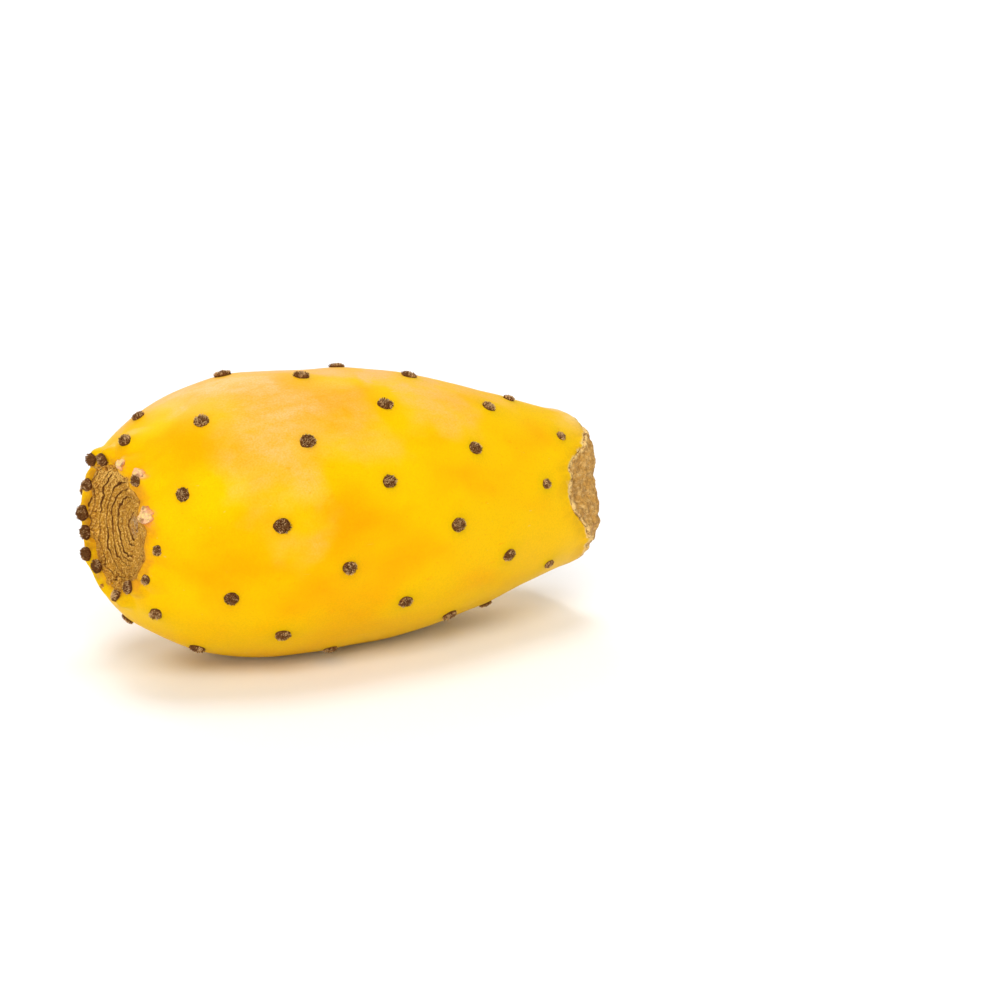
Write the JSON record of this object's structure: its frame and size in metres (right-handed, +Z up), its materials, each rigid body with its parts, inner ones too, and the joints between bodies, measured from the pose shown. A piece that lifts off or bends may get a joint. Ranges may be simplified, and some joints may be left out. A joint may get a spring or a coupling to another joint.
{
  "type": "prickly pear fruit",
  "caption": "Whole ripe yellow prickly pear fruit lying on its side, with brown areoles, a dished corky flower scar and a small torn stem end.",
  "frame": {"origin": "on the surface that the fruit lies on, below the middle of its bounding box", "axes": "+X along the fruit from its flower scar to its stem end, +Z up, -Y the side that the picture shows"},
  "size_m": [0.0931, 0.0497, 0.0488],
  "materials": {
    "ripe_skin": "waxy yellow fruit skin with orange and peach mottling, satin",
    "scar_cork": "dry tan cork, cracked in rings, matte",
    "areole_felt": "grey-brown felt of short hairs and fine bristles, matte",
    "torn_flesh": "pale dried flesh where the skin is torn, satin"
  },
  "bodies": {
    "root": {"fruit": "ripe_skin"}
  },
  "joints": []
}
